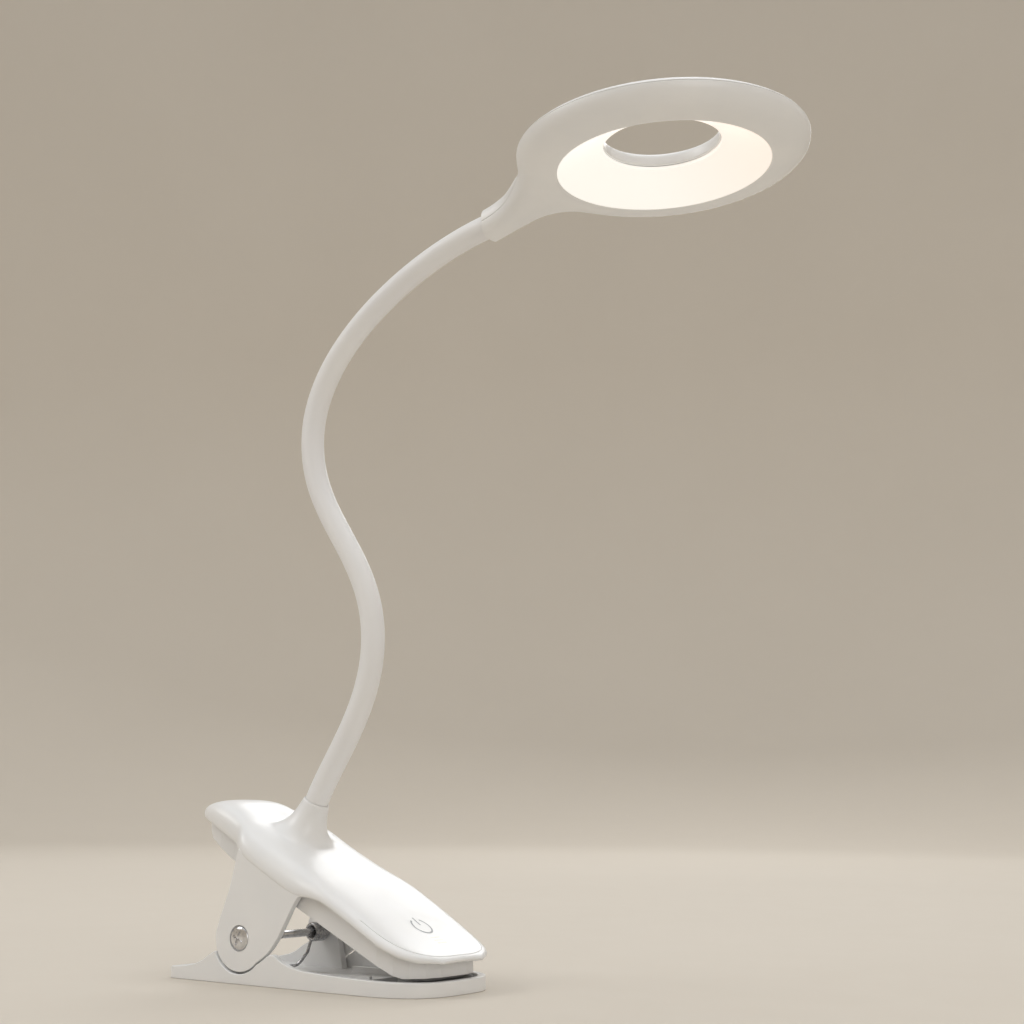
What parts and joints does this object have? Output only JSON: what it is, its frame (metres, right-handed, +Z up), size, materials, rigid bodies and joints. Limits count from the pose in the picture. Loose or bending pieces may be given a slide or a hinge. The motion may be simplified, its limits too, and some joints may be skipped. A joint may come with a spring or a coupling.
{
  "type": "clip-on reading lamp",
  "caption": "Reading lamp: a spring clip with a battery inside, a flexible gooseneck, and a tilted ring head with a recessed glowing diffuser.",
  "frame": {"origin": "on the table, at the underside of the lower jaw, straight below the middle of the jaw pivot", "axes": "+X from the clip's tail to its nose and towards the ring head, +Y across the clip, +Z up"},
  "size_m": [0.2278, 0.0946, 0.2709],
  "materials": {
    "white_plastic": "moulded, satin gloss",
    "white_silicone": "smooth matt silicone",
    "grip_rubber": "soft matt rubber",
    "plated_steel": "bright nickel plate",
    "gooseneck_steel": "spiral-wound steel hose",
    "brass": "turned brass",
    "diffuser_acrylic": "opal acrylic, lit warm white",
    "led_board_white": "white solder mask",
    "board_green": "green solder mask",
    "battery_foil": "wrapped pouch cell",
    "clear_plastic": "clear light pipe",
    "red_insulation": "wire insulation",
    "black_insulation": "wire insulation"
  },
  "bodies": {
    "lower_jaw": {"lower_jaw": "white_plastic", "lower_jaw_pad": "grip_rubber", "torsion_spring": "plated_steel"},
    "upper_jaw": {"top_cover": "white_plastic", "battery_housing": "white_plastic", "upper_jaw_pad": "grip_rubber", "battery_cell": "battery_foil", "control_board": "board_green", "usb_socket": "plated_steel", "touch_spring": "brass", "indicator_light_pipe": "clear_plastic", "housing_screw_1": "plated_steel", "housing_screw_2": "plated_steel", "housing_screw_3": "plated_steel", "housing_screw_4": "plated_steel", "pivot_shaft": "plated_steel", "pivot_screw_left": "plated_steel", "pivot_screw_right": "plated_steel", "gooseneck_lower_ferrule": "plated_steel", "gooseneck_lock_nut": "brass", "battery_lead_red": "red_insulation", "battery_lead_black": "black_insulation", "gooseneck_sleeve_0": "white_silicone", "gooseneck_core_0": "gooseneck_steel"},
    "neck_1": {"gooseneck_sleeve_1": "white_silicone", "gooseneck_core_1": "gooseneck_steel"},
    "neck_2": {"gooseneck_sleeve_2": "white_silicone", "gooseneck_core_2": "gooseneck_steel"},
    "neck_3": {"gooseneck_sleeve_3": "white_silicone", "gooseneck_core_3": "gooseneck_steel"},
    "neck_4": {"gooseneck_sleeve_4": "white_silicone", "gooseneck_core_4": "gooseneck_steel"},
    "neck_5": {"gooseneck_sleeve_5": "white_silicone", "gooseneck_core_5": "gooseneck_steel"},
    "neck_6": {"gooseneck_sleeve_6": "white_silicone", "gooseneck_core_6": "gooseneck_steel"},
    "neck_7": {"gooseneck_sleeve_7": "white_silicone", "gooseneck_core_7": "gooseneck_steel"},
    "head": {"gooseneck_sleeve_8": "white_silicone", "gooseneck_core_8": "gooseneck_steel", "gooseneck_upper_ferrule": "plated_steel", "head_bezel": "white_plastic", "head_back_shell": "white_plastic", "diffuser_ring": "diffuser_acrylic", "led_board": "led_board_white", "head_screw_1": "plated_steel", "head_screw_2": "plated_steel", "head_screw_3": "plated_steel", "head_lead_red": "red_insulation", "head_lead_black": "black_insulation"}
  },
  "joints": [
    {"name": "jaw_pivot", "type": "hinge", "parent": "lower_jaw", "child": "upper_jaw", "pos_m": [0, 0, 0.0146], "axis": [0, -1, 0], "range_deg": [0, 30], "stiffness_Nm_per_rad": 0.5, "springref_deg": -40.11, "deforming": ["torsion_spring"]},
    {"name": "gooseneck_nod_1", "type": "hinge", "parent": "upper_jaw", "child": "neck_1", "pos_m": [0.01901, 0, 0.07247], "axis": [0, 1, 0], "range_deg": [-22, 22]},
    {"name": "gooseneck_sway_1", "type": "hinge", "parent": "neck_1", "child": "neck_2", "pos_m": [0.03267, 0, 0.09996], "axis": [-0.9664, 0, 0.257], "range_deg": [-20, 20]},
    {"name": "gooseneck_nod_2", "type": "hinge", "parent": "neck_2", "child": "neck_3", "pos_m": [0.03063, 0, 0.13014], "axis": [0, 1, 0], "range_deg": [-22, 22]},
    {"name": "gooseneck_sway_2", "type": "hinge", "parent": "neck_3", "child": "neck_4", "pos_m": [0.01449, 0, 0.15633], "axis": [-0.8363, 0, -0.5482], "range_deg": [-20, 20]},
    {"name": "gooseneck_nod_3", "type": "hinge", "parent": "neck_4", "child": "neck_5", "pos_m": [0.00431, 0, 0.18495], "axis": [0, 1, 0], "range_deg": [-22, 22]},
    {"name": "gooseneck_sway_3", "type": "hinge", "parent": "neck_5", "child": "neck_6", "pos_m": [0.01486, 0, 0.21324], "axis": [-0.7862, 0, 0.618], "range_deg": [-20, 20]},
    {"name": "gooseneck_nod_4", "type": "hinge", "parent": "neck_6", "child": "neck_7", "pos_m": [0.03817, 0, 0.23318], "axis": [0, 1, 0], "range_deg": [-22, 22]},
    {"name": "gooseneck_sway_4", "type": "hinge", "parent": "neck_7", "child": "head", "pos_m": [0.06608, 0, 0.24609], "axis": [-0.3138, 0, 0.9495], "range_deg": [-20, 20]}
  ]
}
